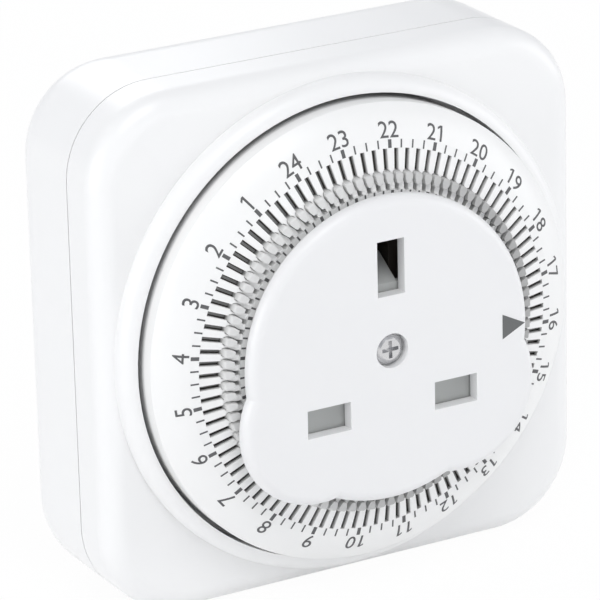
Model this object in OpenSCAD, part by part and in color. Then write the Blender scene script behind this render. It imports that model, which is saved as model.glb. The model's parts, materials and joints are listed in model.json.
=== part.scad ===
// Plug-in 24-hour segment timer for 13 A three-pin sockets.
// Origin on the dial axis, in the flat rear face that meets the wall. +X is right and +Z up as seen
// from the front. Every piece is drawn lying on its back and turned upright by stand(): there x is
// right, y is up the front, and z is the height in front of the rear face.

/* [Case] */
// Width of the case
case_w = 83.8; // [83:0.1:90]
// Height of the case
case_h = 83.2; // [82.6:0.1:90]
// Corner radius of the case, seen from the front
corner_r = 13.9; // [12:0.1:15]
// Depth of the rear shell
rear_depth = 20; // [19.6:0.1:21]
// Depth of the front shell, from the seam to its flat face
front_depth = 8.7; // [8.5:0.1:10]
// Wall thickness of both shells
wall = 2; // [1.7:0.1:2.3]
// Rounding of the front edge
front_round = 3.5; // [2.5:0.1:4]
// Rounding of the rear edge
rear_round = 8; // [6:0.1:8.5]
// Shadow gap at the seam between the shells
seam_gap = 0.25; // [0.1:0.05:0.4]
// Radius of the quarter-round bezel lip
bezel_w = 2.5; // [2:0.1:2.9]
// Height of the small step at the foot of the bezel
bezel_step = 0.3; // [0.1:0.1:0.6]

/* [Dial] */
// Outer radius of the dial
dial_r = 36.4; // [36:0.1:36.8]
// Gap between the dial and the bezel
dial_gap = 0.7; // [0.3:0.1:0.8]
// Height of the dial's face above the face of the case, at its outer scale
dial_rise = 8.8; // [8.6:0.1:10]
// Outer radius of the dial's conical face
land_r = 31.5; // [31.2:0.1:32]
// Drop from the edge of the conical face to the shoulder of the rim
rim_drop = 3.4; // [3:0.1:3.8]
// Radius of the domed number band, in section
dome_r = 9.4; // [8.5:0.1:12]
// Wall thickness of the dial's rim
rim_t = 1.6; // [1.2:0.1:1.8]
// Outer radius of the raised inner scale ring
ring_r = 24.35; // [24.15:0.05:24.4]
// Rise of the conical face from its edge to the inner scale ring
face_rise = 1.75; // [1.5:0.05:1.8]
// Height of the inner scale ring above the edge of the conical face
ring_rise = 2; // [1.85:0.05:2]
// Outer end of the tappet slots
slot_end_r = 30.2; // [29.5:0.1:30.8]
// Width of a tappet slot
slot_w = 0.76; // [0.68:0.02:0.84]
// Depth of the notch that each slot cuts into the inner scale ring
notch_depth = 0.25; // [0.1:0.05:0.4]
// Angle by which the dial is turned at rest, in degrees
dial_turn = -6.2; // [-7:0.1:-5.6]

/* [Tappets] */
// Travel of a tappet from off to on
tappet_travel = 2; // [1.6:0.1:2]
// Width of a tappet's head
head_w = 1.25; // [1.05:0.05:1.3]
// Width of a tappet's head at its inner end
neck_w = 0.7; // [0.6:0.05:0.8]
// Height of a tappet's head above the dial's face
head_rise = 0.9; // [0.7:0.05:1]
// Radius of the rounded outer end of a tappet's head
nose_r = 0.5; // [0.3:0.05:0.8]
// Thickness of a tappet's blade
blade_t = 0.5; // [0.4:0.02:0.5]
// Length of the pockets that the heads sink into
pocket_l = 2.65; // [2.6:0.05:2.8]

/* [Hub and pan] */
// Outer radius of the hub that the dial turns on
hub_r = 20.6; // [20.5:0.05:20.8]
// Wall thickness of the hub
hub_wall = 1.6; // [1.4:0.1:1.7]
// Depth of the dial pan below the face of the case
pan_depth = 2.2; // [2:0.1:2.4]
// Thickness of the pan's floor
pan_t = 1.5; // [1.2:0.1:1.6]
// Thickness of the pan's wall
pan_wall = 1.6; // [1.2:0.1:1.8]
// Radial clearance of every running fit
run_gap = 0.05; // [0.03:0.01:0.08]

/* [Socket plate] */
// Thickness of the socket plate
plate_t = 2; // [1.8:0.1:2.4]
// Height of the plate's back above the edge of the dial's face
plate_lift = 3.6; // [3.5:0.1:4]
// Radius of the round part of the plate
plate_r = 24.3; // [23.8:0.1:24.8]
// Rounding of the plate's front edge
plate_round = 1.6; // [1:0.1:1.7]
// Radius of the two lower lobes
lobe_r = 13.3; // [12.8:0.1:13.6]
// Distance of each lobe's centre from the middle
lobe_x = 12.2; // [11.8:0.1:12.6]
// Distance of the lobe centres below the dial axis
lobe_drop = 9.2; // [9:0.1:9.8]
// Spacing of the line and neutral pins
pin_spacing = 22.2; // [22:0.05:22.4]
// Height of the earth pin above the line and neutral pins
earth_rise = 22.2; // [22:0.05:22.4]
// Distance of the line and neutral pins below the dial axis
socket_drop = 8.93; // [8.85:0.01:9]
// Width of the line and neutral apertures
line_hole_w = 7.5; // [7.2:0.1:7.5]
// Height of the line and neutral apertures
line_hole_h = 4.5; // [4.4:0.05:4.5]
// Width of the earth aperture
earth_hole_w = 4.7; // [4.6:0.1:4.8]
// Height of the earth aperture
earth_hole_h = 8.8; // [8.7:0.05:8.9]
// Radius of the centre screw's head
centre_head_r = 2.3; // [2:0.1:2.4]
// Radius of the centre screw's shank
centre_screw_r = 1.7; // [1.4:0.05:1.75]
// Depth of the pocket around the centre screw's head
pocket_depth = 1.9; // [1.5:0.1:2]

/* [Shutter] */
// Thickness of the shutter
shutter_t = 1.1; // [1:0.05:1.1]
// Gap between the shutter and the plate
shutter_gap = 0.25; // [0.2:0.05:0.25]
// Travel of the shutter
shutter_travel = 4.6; // [4.55:0.01:4.6]

/* [Plug pins] */
// Width of the line and neutral pins
line_pin_w = 6.35; // [6.2:0.05:6.4]
// Thickness of all three pins
pin_t = 3.97; // [3.9:0.01:4]
// Length of the line and neutral pins behind the case
line_pin_l = 17.7; // [17.2:0.1:18.2]
// Height of the earth pin's section
earth_pin_h = 7.95; // [7.8:0.01:8]
// Length of the earth pin behind the case
earth_pin_l = 22.7; // [22.2:0.1:23.2]
// Length of the pins' roots inside the case
pin_root = 8; // [7:0.1:8.4]
// Length of the insulating sleeves
sleeve_l = 9.3; // [8.8:0.1:9.5]
// Thickness of the insulating sleeves
sleeve_t = 0.5; // [0.4:0.05:0.6]

/* [Gear train] */
// Angle of the clutch pinion around the dial axis, in degrees
pinion_angle = -71; // [-72:0.5:-70]
// Gear module of the dial drive
drive_module = 0.66; // [0.65:0.005:0.665]
// Gear module of the reduction train
train_module = 0.5; // [0.48:0.005:0.505]
// Radius of the steel axles
axle_r = 0.6; // [0.5:0.05:0.7]
// Radius of the clutch pinion's shaft
shaft_r = 1.5; // [1.3:0.05:1.6]
// Thickness of the train's large wheels
wheel_t = 1.2; // [1:0.1:1.3]
// Thickness of the plate that carries the axles
gear_plate_t = 1.4; // [1.2:0.1:1.4]

/* [Motor] */
// Radius of the rotor magnet
rotor_r = 5; // [4.6:0.1:5.1]
// Air gap around the rotor
air_gap = 0.4; // [0.3:0.05:0.5]
// Thickness of the stack of laminations
stack_t = 4.5; // [4:0.1:4.6]
// Radius of the coil
coil_r = 5.1; // [4.5:0.1:5.1]

/* [Switch] */
// Distance of the follower pin from the dial axis
follower_r = 25.2; // [25.1:0.05:25.3]
// Radius of the follower pin
follower_pin_r = 1.3; // [1.1:0.05:1.3]
// Width of the switch body
switch_w = 6.4; // [6:0.1:6.4]
// Length of the switch body
switch_l = 20; // [19.6:0.1:20.4]
// Height of the switch body
switch_h = 10; // [9.8:0.1:10]
// Swing of the switch lever, in degrees
lever_swing = 12; // [11.8:0.1:12.2]

/* [Hidden] */
$fn = 64;

// Colours
shell_white = [0.96, 0.96, 0.95];
plate_white = [0.92, 0.92, 0.92];
tappet_grey = [0.78, 0.78, 0.77];
shutter_grey = [0.65, 0.66, 0.65];
brass = [0.80, 0.66, 0.36];
steel = [0.72, 0.72, 0.74];
gear_white = [0.90, 0.88, 0.80];
dark_grey = [0.10, 0.09, 0.08];

// Overlap of shapes that are fused, and the reach of a cut beyond a surface
bite = 0.1;
over = 1;

// Heights in front of the rear face
front_face = rear_depth + front_depth;
land_top = front_face + dial_rise;
ring_top = land_top + ring_rise;
plate_back = land_top + plate_lift;
plate_front = plate_back + plate_t;
bezel_base = front_face + bezel_step;
pan_top = front_face - pan_depth;
pan_bottom = pan_top - pan_t;
cover_inside = front_face - wall;

// Rim of the rear shell that locates the front shell
rim_inset = wall * 3 / 4;
spigot_gap = 0.1;
spigot_t = 1.2;
spigot_root = 3;
spigot_rise = 1.5;
spigot_out = wall + spigot_gap;
spigot_in = spigot_out + spigot_t;

// Dial
segments = 96;
segments_per_hour = 4;
pitch = 360 / segments;
arrow_hour = 16;
slot_phase = 0.44;
pan_r = dial_r + dial_gap;
dial_bore = hub_r + run_gap;
face_slope = face_rise / (land_r - ring_r);
function face_at(r) = land_top + (land_r - r) * face_slope;
head_lip = 0.4;
head_bottom = land_top - head_lip;
sink_gap = 0.2;
pocket_floor = head_bottom - tappet_travel - sink_gap;
dial_floor_t = 1.2;
dial_floor = pocket_floor - dial_floor_t;
pocket_out = ring_r + pocket_l;
sleeve_wall = 1.5;
dome_lap = 0.5;
band_gap = 0.8;
band_bottom = pan_top + band_gap;
band_t = 2.6;
band_top = band_bottom + band_t;

// Dome of the number band: a circle through the land's edge and the rim's shoulder
dome_chord = norm([dial_r - land_r, rim_drop]);
dome_reach = sqrt(dome_r * dome_r - dome_chord * dome_chord / 4);
dome_c_r = (land_r + dial_r) / 2 - dome_reach * rim_drop / dome_chord;
dome_c_z = land_top - rim_drop / 2 - dome_reach * (dial_r - land_r) / dome_chord;

// Tappets
head_gap = 0.1;
neck_clear = 0.95;
head_in = ring_r + neck_clear;
head_out = pocket_out - head_gap;
neck_l = 0.8;
shoulder_in = head_in + neck_l;
tip_l = 0.3;
shoulder_out = head_out - tip_l;
tip_w = head_w * 3 / 4;
stem_inset = 0.15;
stem_in = head_in + stem_inset;
stem_out = shoulder_out;
stem_gap = 0.08;
foot_gap = 0.4;
foot_t = 1.1;
foot_top = dial_floor - foot_gap;
foot_bottom = foot_top - foot_t;

// Hub and socket
hub_bore = hub_r - hub_wall;
line_x = pin_spacing / 2;
earth_y = earth_rise - socket_drop;
line_top = -socket_drop + line_hole_h / 2;
line_low = -socket_drop - line_hole_h / 2;
earth_low = earth_y - earth_hole_h / 2;
earth_top = earth_y + earth_hole_h / 2;
carrier_gap = 0.1;
carrier_r = hub_bore - carrier_gap;
carrier_drop = 1.3;
carrier_top = ring_top - carrier_drop;
flange_t = 1.4;
flange_reach = 1.4;
flange_r = hub_bore + flange_reach;
boss_r = 3.2;
boss_h = 1.2;
boss_top = plate_back - boss_h;
fit = 0.05;

// Centre screw
centre_seat = plate_front - pocket_depth;
centre_pocket_gap = 0.45;
centre_head_t = 0.9;
centre_bevel = 0.6;
centre_bevel_h = 0.4;
centre_screw_l = 9;
centre_end_gap = 0.5;
centre_cross_l = 2.8;
centre_cross_w = 0.6;
centre_cross_floor = 0.4;
centre_cross_turn = 2;

// Shutter
shutter_front = plate_back - shutter_gap;
shutter_back = shutter_front - shutter_t;
slide_gap = 0.1;
wing_below = 1;
wing_above = 0.05;
wing_beside = 0.8;
bar_h = 3.8;
shutter_low = line_low - wing_below;
bar_top = shutter_low + bar_h;
ramp_short = 0.07;
ramp_lip = 1.2;
ramp_depth = 5.1;
ramp_toe = 1;
ramp_gap = 0.3;
ramp_side_gap = 0.15;
ramp_top = earth_low + shutter_travel - ramp_short;
ramp_low = earth_low + ramp_lip;
bridge_drop = 0.7;
bridge_low = earth_low - bridge_drop;
arm_gap = 1;
arm_in = boss_r + arm_gap;
arm_w = 2.1;
hub_slot_in = 8.5;
hub_slot_side = 1;
hub_slot_end = 0.5;
hub_slot_gap = 0.15;
spring_r = 1;
spring_wire = 0.16;
spring_end_gap = 0.2;
spring_low = -hub_bore + spring_end_gap;
spring_turns = 5;
spring_z = carrier_top + spring_r + 2 * spring_wire;

// Contacts
leaf_gap = 1.86;
leaf_t = 0.6;
clip_lift = 0.6;
clip_h = 7.4;
clip_low = pan_bottom + clip_lift;
clip_top = clip_low + clip_h;
line_clip_l = 5.6;
earth_clip_l = 7.5;
line_cavity_l = 7;
earth_cavity_l = 8;
line_tail_w = 5;
earth_tail_w = 7;
tail_gap = 0.2;
cavity_gap = 0.1;
passage = 0.05;
strip_low = 9.5;
strip_top = 13.5;

// Plug pins
pin_gap = 0.08;
pin_bevel = 0.9;
pin_bevel_l = 1.5;
pin_flange = 0.8;
pin_flange_t = 1.4;
link_below = 0.6;
link_above = 1.4;
link_low = 4.4;
link_top = 5;

// Reduction train: tooth counts and the chain of centres, worked back from the dial
ring_teeth = 96;
drive_teeth = 12;
small_teeth = 10;
large_teeth = 30;
clutch_teeth = 40;
addendum = 0.83;
dedendum = 1.13;
tooth_share = 0.42;
root_spread = 1.35;
tip_spread = 0.5;
space_mouth = 1.03;
space_floor = 0.5;
space_reach = 0.3;
drive_reach = drive_module * (ring_teeth - drive_teeth) / 2;
step_reach = train_module * (large_teeth + small_teeth) / 2;
clutch_reach = train_module * (clutch_teeth + small_teeth) / 2;
angle_3 = 196;
angle_2 = 162;
angle_1 = 130;
angle_m = 104;
function from(p, reach, angle) = [p[0] + reach * cos(angle), p[1] + reach * sin(angle)];
clutch_at = from([0, 0], drive_reach, pinion_angle);
wheel_3_at = from(clutch_at, clutch_reach, angle_3);
wheel_2_at = from(wheel_3_at, step_reach, angle_2);
wheel_1_at = from(wheel_2_at, step_reach, angle_1);
rotor_at = from(wheel_1_at, step_reach, angle_m);
axles_at = [rotor_at, wheel_1_at, wheel_2_at, wheel_3_at];
axle_boss_r = 2;
axle_boss_h = 2;
wheel_low = 12.5;
storey = 2.5;
teeth_over = 0.2;
clutch_low = wheel_low + 3 * storey;
clutch_room = 2;
gear_plate_low = clutch_low + clutch_room;
gear_plate_top = gear_plate_low + gear_plate_t;
eye_r = 3.5;
pillar_r = 1.5;
pillars = [[-27.5, -24.5], [21.5, -30], [-2.5, -17.5]];
drive_inset = 0.2;
drive_low = band_bottom + drive_inset;
drive_t = band_t - 2 * drive_inset;

// Slip clutch
shaft_boss_r = 3;
shaft_boss_h = 4;
shaft_seat = 1;
shaft_end_gap = 0.2;
shaft_low = wall + shaft_seat + shaft_end_gap;
disc_r = 4;
disc_t = 0.8;
disc_gap = 0.1;
washer_fit = 0.02;
washer_gap = 0.05;
washer_rise = 0.45;
washer_t = 0.2;
washer_low = clutch_low + wheel_t + washer_gap;

// Motor
stack_low = 6;
core_rest_y = 7.6;
core_rest_left = -5;
core_rest_right = 2;
rest_half = 1;
magnet_over = 0.4;
bore_r = rotor_r + air_gap;
core_left = -14;
core_right = 5.5;
core_half = 9;
leg_w = 3.5;
window_half = 6;
window_right = -6.8;
pole_gap = 1.6;
spool_half = 5.8;
spool_flange = 0.8;
spool_wall = 0.5;
spool_fit = 0.1;
coil_inset = 0.2;
leg_x = core_left + leg_w / 2;
leg_z = stack_low + stack_t / 2;

// Motor leads
lead_r = 0.6;
lead_high = 12;
lead_low = 6.5;
lead_a_y = 2;
lead_b_y = 5;
lead_spread = 3;

// Switch
switch_top = 17.5;
switch_low = switch_top - switch_h;
switch_rests = [1, 7];
switch_rest_half = 1.5;
lever_y = 8.5;
lever_rise = 0.8;
lever_z = switch_top + lever_rise;
lever_t = 0.4;
lever_w = 3;
lever_l = 11.5;
lever_hub_r = 0.75;
lever_pin_r = 0.45;
lever_pin_l = 5;
ear_gap = 0.15;
ear_t = 0.85;
ear_half = 1.1;
plunger_y = 5;
plunger_r = 0.7;
plunger_in = 2.5;
plunger_hole = 4;
lever_half = lever_t / 2 / cos(lever_swing);
lever_tip = lever_z + lever_l * sin(lever_swing) + lever_half;
lever_gap = 0.06;
plunger_top = lever_z + (lever_y - plunger_y - plunger_r) * tan(lever_swing) - lever_half - lever_gap;
follower_gap = 0.2;
follower_top = foot_bottom - follower_gap;
follower_low = lever_z + (lever_y + follower_pin_r) * tan(lever_swing) + lever_half + lever_gap;
follower_bevel = 0.6;
follower_bevel_h = 0.7;
collar_r = 2;
collar_t = 0.8;
collar_gap = 0.2;
terminal_t = 0.8;
terminal_back = -5;
terminal_front = -2;
terminal_low = 10;
terminal_top = 13;
tab_back = -9;
tab_front = -5;
tab_low = 3.6;

// Override slider; the sizes along y and z are halves, measured from its middle
pad_t = 1.6;
pad_y = 9;
pad_z = 5;
recess_d = 1.2;
recess_y = 8;
recess_z = 4;
window_y = 5;
window_z = 1;
slider_z = 12;
slider_y = 2.5;
thumb_half = 2.5;
stalk_y = 2;
stalk_z = window_z - slide_gap;
keeper_t = 1.1;
keeper_y = 3.5;
keeper_z = 2;
finger_y = 1;
finger_t = 0.8;
finger_gap = 0.3;
finger_inset = 0.2;

// Screws that close the case
screw_r = 1.45;
screw_head_r = 2.75;
screw_head_t = 2;
screw_pocket = 2.8;
screw_head_low = screw_pocket - screw_head_t;
screw_head_gap = 0.15;
screw_end = cover_inside - 1.5;
screw_hole_end = cover_inside - 1;
screw_cross_l = 3.4;
screw_cross_w = 0.8;
screw_cross_depth = 1.1;
post_r = 3.6;
post_in = 9.6;
post_x = case_w / 2 - post_in;
post_y = case_h / 2 - post_in;

module stand() rotate([90, 0, 0]) children();

// Half the section of a block with rounded rear and front edges: x outward, y forward
module edge_profile(reach, depth, rear_r, front_r) {
    difference() {
        square([reach, depth]);
        if (rear_r > 0) translate([reach - rear_r, -over]) difference() {
            square([rear_r + over, rear_r + over]);
            translate([0, rear_r + over]) circle(rear_r);
        }
        if (front_r > 0) translate([reach - front_r, depth - front_r]) difference() {
            square([front_r + over, front_r + over]);
            circle(front_r);
        }
    }
}

module whole_profile(reach, depth, rear_r, front_r) {
    edge_profile(reach, depth, rear_r, front_r);
    mirror([1, 0]) edge_profile(reach, depth, rear_r, front_r);
}

// A block with round corners and rounded rear and front edges
module block(w, h, depth, corner, rear_r, front_r) {
    flat_x = w / 2 - corner;
    flat_y = h / 2 - corner;
    translate([-flat_x, 0, 0]) rotate([90, 0, 90]) linear_extrude(2 * flat_x)
        whole_profile(h / 2, depth, rear_r, front_r);
    for (side = [0, 1]) mirror([side, 0, 0]) {
        translate([flat_x, flat_y, 0]) rotate([90, 0, 0]) linear_extrude(2 * flat_y)
            edge_profile(corner, depth, rear_r, front_r);
        for (end = [0, 1]) mirror([0, end, 0]) translate([flat_x, flat_y, 0])
            rotate_extrude(angle = 90) edge_profile(corner, depth, rear_r, front_r);
    }
}

module at_corners() for (sx = [-1, 1], sy = [-1, 1]) translate([sx * post_x, sy * post_y, 0])
    children();

module at_line_pins() for (side = [-1, 1]) translate([side * line_x, -socket_drop, 0]) children();

module bar(x0, x1, y0, y1, z0, z1) translate([x0, y0, z0]) cube([x1 - x0, y1 - y0, z1 - z0]);

module tube(r_out, r_in, z0, z1) translate([0, 0, z0]) difference() {
    cylinder(r = r_out, h = z1 - z0);
    translate([0, 0, -over]) cylinder(r = r_in, h = z1 - z0 + 2 * over);
}

// Outline of a toothed wheel with straight-sided teeth; half widths in degrees
function tooth_points(teeth, r_root, r_tip, root_half, tip_half) = [
    for (i = [0 : teeth - 1])
        for (p = [[r_root, -root_half], [r_tip, -tip_half], [r_tip, tip_half], [r_root, root_half]])
            [p[0] * cos(360 * i / teeth + p[1]), p[0] * sin(360 * i / teeth + p[1])]
];

module toothed(teeth, size, height) {
    r = teeth * size / 2;
    half = 180 / teeth * tooth_share;
    linear_extrude(height) polygon(tooth_points(teeth, r - dedendum * size, r + addendum * size,
        half * root_spread, half * tip_spread));
}

// Cross recess of a screw
module cross(length, width, z0, z1) for (turn = [0, 90]) rotate(turn)
    bar(-length / 2, length / 2, -width / 2, width / 2, z0, z1);

module at(p) translate([p[0], p[1], 0]) children();

module at_switch() translate([follower_r, 0, 0]) children();

// ---- Case ----

module pan_profile() {
    translate([pan_r, pan_bottom]) square([pan_wall, bezel_base - pan_bottom]);
    translate([pan_r, cover_inside]) square([bezel_w, bezel_base - cover_inside]);
    translate([pan_r, bezel_base]) intersection() {
        circle(bezel_w);
        square(bezel_w);
    }
    translate([hub_bore, pan_bottom]) square([pan_r + pan_wall - hub_bore, pan_t]);
    translate([hub_bore, pan_bottom]) square([hub_wall, plate_back - pan_bottom]);
}

module front_cover() color(shell_white) stand() difference() {
    union() {
        difference() {
            translate([0, 0, rear_depth])
                block(case_w, case_h, front_depth, corner_r, 0, front_round);
            translate([0, 0, rear_depth - over]) block(case_w - 2 * wall, case_h - 2 * wall,
                front_depth - wall + over, corner_r - wall, 0, front_round - wall / 2);
            cylinder(r = pan_r + pan_wall / 2, h = front_face + over);
        }
        rotate_extrude() pan_profile();
        at_corners() translate([0, 0, rear_depth]) cylinder(r = post_r, h = cover_inside - rear_depth);
    }
    at_corners() translate([0, 0, rear_depth - over])
        cylinder(r = screw_r + fit, h = screw_hole_end - rear_depth + over);
    at(clutch_at) translate([0, 0, pan_bottom - over])
        cylinder(r = shaft_r + run_gap, h = pan_t + 2 * over);
    at_switch() translate([0, 0, pan_bottom - over])
        cylinder(r = follower_pin_r + run_gap, h = pan_t + 2 * over);
    for (side = [0, 1]) mirror([side, 0, 0])
        bar(hub_slot_in, hub_r + over, shutter_low - shutter_travel - hub_slot_end,
            line_top + hub_slot_side, shutter_back - hub_slot_gap, plate_back + over);
}

module rear_case() color(shell_white) stand() difference() {
    union() {
        difference() {
            block(case_w, case_h, rear_depth - seam_gap, corner_r, rear_round, 0);
            translate([0, 0, wall]) block(case_w - 2 * wall, case_h - 2 * wall, rear_depth,
                corner_r - wall, rear_round - wall / 2, 0);
        }
        difference() {
            union() {
                translate([0, 0, rear_depth - spigot_root]) block(case_w - 2 * rim_inset,
                    case_h - 2 * rim_inset, spigot_root - seam_gap, corner_r - rim_inset, 0, 0);
                translate([0, 0, rear_depth - spigot_root]) block(case_w - 2 * spigot_out,
                    case_h - 2 * spigot_out, spigot_root + spigot_rise, corner_r - spigot_out, 0, 0);
            }
            translate([0, 0, rear_depth - spigot_root - over]) block(case_w - 2 * spigot_in,
                case_h - 2 * spigot_in, spigot_root + spigot_rise + 2 * over, corner_r - spigot_in, 0, 0);
        }
        at_corners() translate([0, 0, wall / 2]) cylinder(r = post_r, h = rear_depth - wall / 2);
        for (p = axles_at) at(p) translate([0, 0, wall / 2])
            cylinder(r = axle_boss_r, h = wall / 2 + axle_boss_h);
        at(clutch_at) translate([0, 0, wall / 2]) cylinder(r = shaft_boss_r, h = wall / 2 + shaft_boss_h);
        for (side = [-1, 1]) at(rotor_at) translate([0, side * core_rest_y, 0])
            bar(core_rest_left, core_rest_right, -rest_half, rest_half, wall / 2, stack_low);
        at_switch() for (y = switch_rests)
            bar(-switch_rest_half, switch_rest_half, y - rest_half, y + rest_half, wall / 2, switch_low);
        bar(case_w / 2 - wall - pad_t, case_w / 2 - wall / 2, -pad_y, pad_y, slider_z - pad_z,
            slider_z + pad_z);
    }
    at_corners() {
        translate([0, 0, -over]) cylinder(r = screw_head_r + screw_head_gap, h = screw_pocket + over);
        cylinder(r = screw_r + fit, h = rear_depth + over);
    }
    at_line_pins() pin_slot(line_pin_w, pin_t);
    translate([0, earth_y, 0]) pin_slot(pin_t, earth_pin_h);
    for (p = axles_at) at(p) translate([0, 0, wall]) cylinder(r = axle_r + run_gap, h = axle_boss_h + over);
    at(clutch_at) translate([0, 0, wall + shaft_seat]) cylinder(r = shaft_r + run_gap, h = shaft_boss_h);
    bar(case_w / 2 - recess_d, case_w / 2 + over, -recess_y, recess_y, slider_z - recess_z,
        slider_z + recess_z);
    bar(case_w / 2 - 2 * wall - pad_t, case_w / 2, -window_y, window_y, slider_z - window_z,
        slider_z + window_z);
}

// Slot in the rear wall for a plug pin
module pin_slot(w, h) bar(-w / 2 - pin_gap, w / 2 + pin_gap, -h / 2 - pin_gap, h / 2 + pin_gap, -over,
    wall + over);

module case_screws() color(steel) stand() at_corners() difference() {
    union() {
        translate([0, 0, screw_head_low]) cylinder(r = screw_head_r, h = screw_head_t);
        translate([0, 0, screw_pocket - bite]) cylinder(r = screw_r, h = screw_end - screw_pocket + bite);
    }
    cross(screw_cross_l, screw_cross_w, screw_head_low - over, screw_head_low + screw_cross_depth);
}

// ---- Dial and tappets ----

module dome_profile() difference() {
    intersection() {
        translate([dome_c_r, dome_c_z]) circle(dome_r);
        translate([land_r - dome_lap, band_bottom])
            square([dial_r - land_r + dome_lap, land_top - band_bottom]);
    }
    intersection() {
        union() {
            translate([dome_c_r, dome_c_z]) circle(dome_r - rim_t);
            square([dial_r, dome_c_z]);
        }
        square([dial_r - rim_t, land_top]);
    }
}

module dial_profile() {
    translate([dial_bore, band_bottom]) square([sleeve_wall, ring_top - band_bottom]);
    polygon([[dial_bore, dial_floor], [land_r, dial_floor], [land_r, land_top],
        [ring_r, face_at(ring_r)], [ring_r, ring_top], [dial_bore, ring_top]]);
    dome_profile();
}

module gear_band() rotate(pinion_angle) difference() {
    tube(dial_r - rim_t / 2, (ring_teeth / 2 - addendum) * drive_module, band_bottom, band_top);
    translate([0, 0, band_bottom - over]) linear_extrude(band_t + 2 * over)
        polygon(tooth_points(ring_teeth, (ring_teeth / 2 - addendum) * drive_module - space_reach,
            (ring_teeth / 2 + dedendum) * drive_module, 180 / ring_teeth * space_mouth,
            180 / ring_teeth * space_floor));
}

module at_slot(i) rotate(dial_turn + (i + slot_phase) * pitch) children();

module dial_ring() color(shell_white) stand() {
    difference() {
        union() {
            rotate_extrude() dial_profile();
            gear_band();
        }
        for (i = [0 : segments - 1]) at_slot(i) {
            bar(ring_r - notch_depth, slot_end_r, -slot_w / 2, slot_w / 2, pocket_floor,
                ring_top + over);
            translate([0, 0, pocket_floor]) linear_extrude(ring_top + over - pocket_floor)
                head_outline(head_gap);
            bar(pocket_out, slot_end_r, -slot_w / 2, slot_w / 2, dial_floor - over, pocket_floor + over);
            bar(stem_in - stem_gap, stem_out + stem_gap, -blade_t / 2 - stem_gap,
                blade_t / 2 + stem_gap, dial_floor - over, pocket_floor + over);
        }
    }
}

// Front view of a tappet's head, grown by gap
module head_outline(gap) {
    edge = [[head_in - gap, neck_w / 2 + gap], [shoulder_in, head_w / 2 + gap],
        [shoulder_out, head_w / 2 + gap], [head_out + gap, tip_w / 2 + gap]];
    polygon(concat(edge, [for (i = [len(edge) - 1 : -1 : 0]) [edge[i][0], -edge[i][1]]]));
}

// Side view of a tappet's head: its top runs along the dial's face and ends in a round nose
module head_profile() {
    nose = head_out - nose_r;
    intersection() {
        polygon([[head_in, head_bottom], [head_in, face_at(head_in) + head_rise],
            [head_out, face_at(head_out) + head_rise], [head_out, head_bottom]]);
        union() {
            translate([nose, face_at(nose) + head_rise - nose_r]) circle(nose_r);
            translate([head_in, head_bottom]) square([nose - head_in, ring_top + head_rise - head_bottom]);
            translate([head_in, head_bottom])
                square([head_out - head_in, face_at(nose) + head_rise - nose_r - head_bottom]);
        }
    }
}

module tappet() {
    intersection() {
        translate([0, head_w, 0]) rotate([90, 0, 0]) linear_extrude(2 * head_w) head_profile();
        translate([0, 0, head_bottom]) linear_extrude(ring_top + head_rise - head_bottom) head_outline(0);
    }
    bar(stem_in, stem_out, -blade_t / 2, blade_t / 2, foot_bottom, head_bottom + bite);
    bar(head_in, head_out, -blade_t / 2, blade_t / 2, foot_bottom, foot_top);
}

// The four tappets that follow one hour mark; the numbers run counter-clockwise
module tappets(hour) color(tappet_grey) stand()
    for (i = [0 : segments_per_hour - 1]) at_slot((hour - arrow_hour) * segments_per_hour + i) tappet();

// ---- Socket ----

module socket_plate() color(plate_white) stand() difference() {
    union() {
        translate([0, 0, plate_back]) rotate_extrude() edge_profile(plate_r, plate_t, 0, plate_round);
        for (side = [-1, 1]) translate([side * lobe_x, -lobe_drop, plate_back])
            rotate_extrude() edge_profile(lobe_r, plate_t, 0, plate_round);
        translate([0, 0, boss_top]) cylinder(r = boss_r, h = boss_h + bite);
    }
    at_line_pins() bar(-line_hole_w / 2, line_hole_w / 2, -line_hole_h / 2, line_hole_h / 2,
        plate_back - over, plate_front + over);
    bar(-earth_hole_w / 2, earth_hole_w / 2, earth_low, earth_top, plate_back - over, plate_front + over);
    cylinder(r = centre_screw_r + fit, h = plate_front + over);
    translate([0, 0, centre_seat])
        cylinder(r = centre_head_r + centre_pocket_gap, h = pocket_depth + over);
}

module centre_screw() color(steel) stand() difference() {
    union() {
        translate([0, 0, centre_seat]) cylinder(r = centre_head_r, h = centre_head_t);
        translate([0, 0, centre_seat + centre_head_t])
            cylinder(r1 = centre_head_r, r2 = centre_head_r - centre_bevel, h = centre_bevel_h);
        translate([0, 0, centre_seat - centre_screw_l])
            cylinder(r = centre_screw_r, h = centre_screw_l + bite);
    }
    rotate(centre_cross_turn)
        cross(centre_cross_l, centre_cross_w, centre_seat + centre_cross_floor, plate_front);
}

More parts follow.
